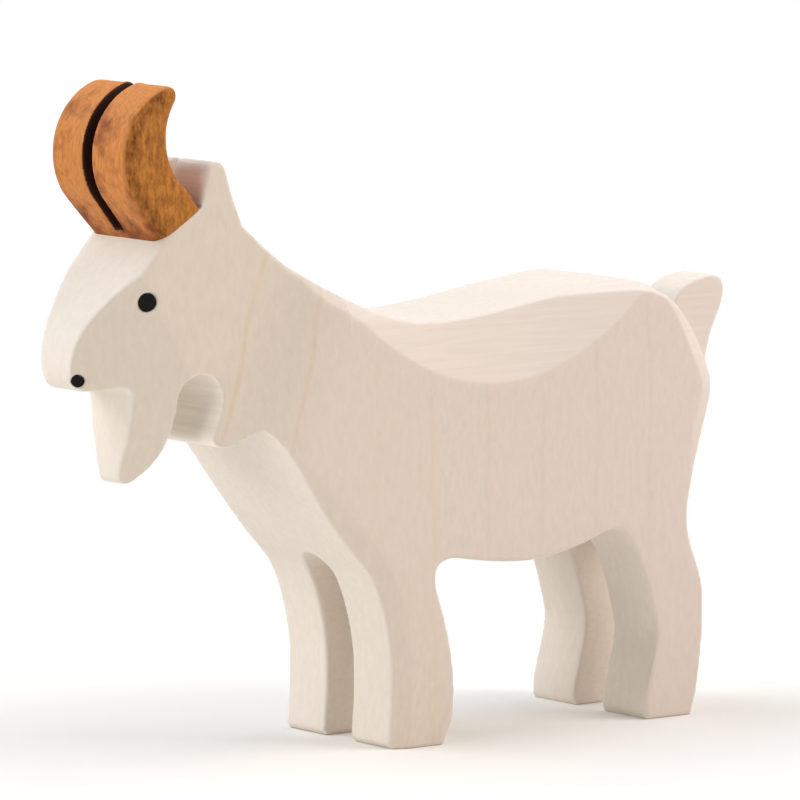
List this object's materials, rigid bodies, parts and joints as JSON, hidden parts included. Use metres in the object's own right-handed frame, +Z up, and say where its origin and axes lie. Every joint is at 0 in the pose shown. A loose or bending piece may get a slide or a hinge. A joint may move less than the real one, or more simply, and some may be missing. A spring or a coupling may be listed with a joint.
{
  "type": "carved wooden goat figure",
  "caption": "Standing goat sawn from a thick board, thinned at the head and hollowed along the back, with a kerfed crescent horn block doweled to the head and painted eyes and nostrils.",
  "frame": {"origin": "on the ground plane under the middle of the goat's length and thickness", "axes": "+X from the nose to the tail, +Y across the board toward the goat's right side, +Z up"},
  "size_m": [0.1212, 0.028, 0.0995],
  "materials": {
    "white_stained_wood": "thin white stain, sanded, matt",
    "brown_stained_wood": "brown stain, sanded, satin",
    "dowel_wood": "bare beech",
    "black_paint": "black paint, satin"
  },
  "bodies": {
    "root": {"body": "white_stained_wood", "horns": "brown_stained_wood", "horn_dowel_left": "dowel_wood", "horn_dowel_right": "dowel_wood", "eye_left": "black_paint", "eye_right": "black_paint", "nostril_left": "black_paint", "nostril_right": "black_paint"}
  },
  "joints": []
}
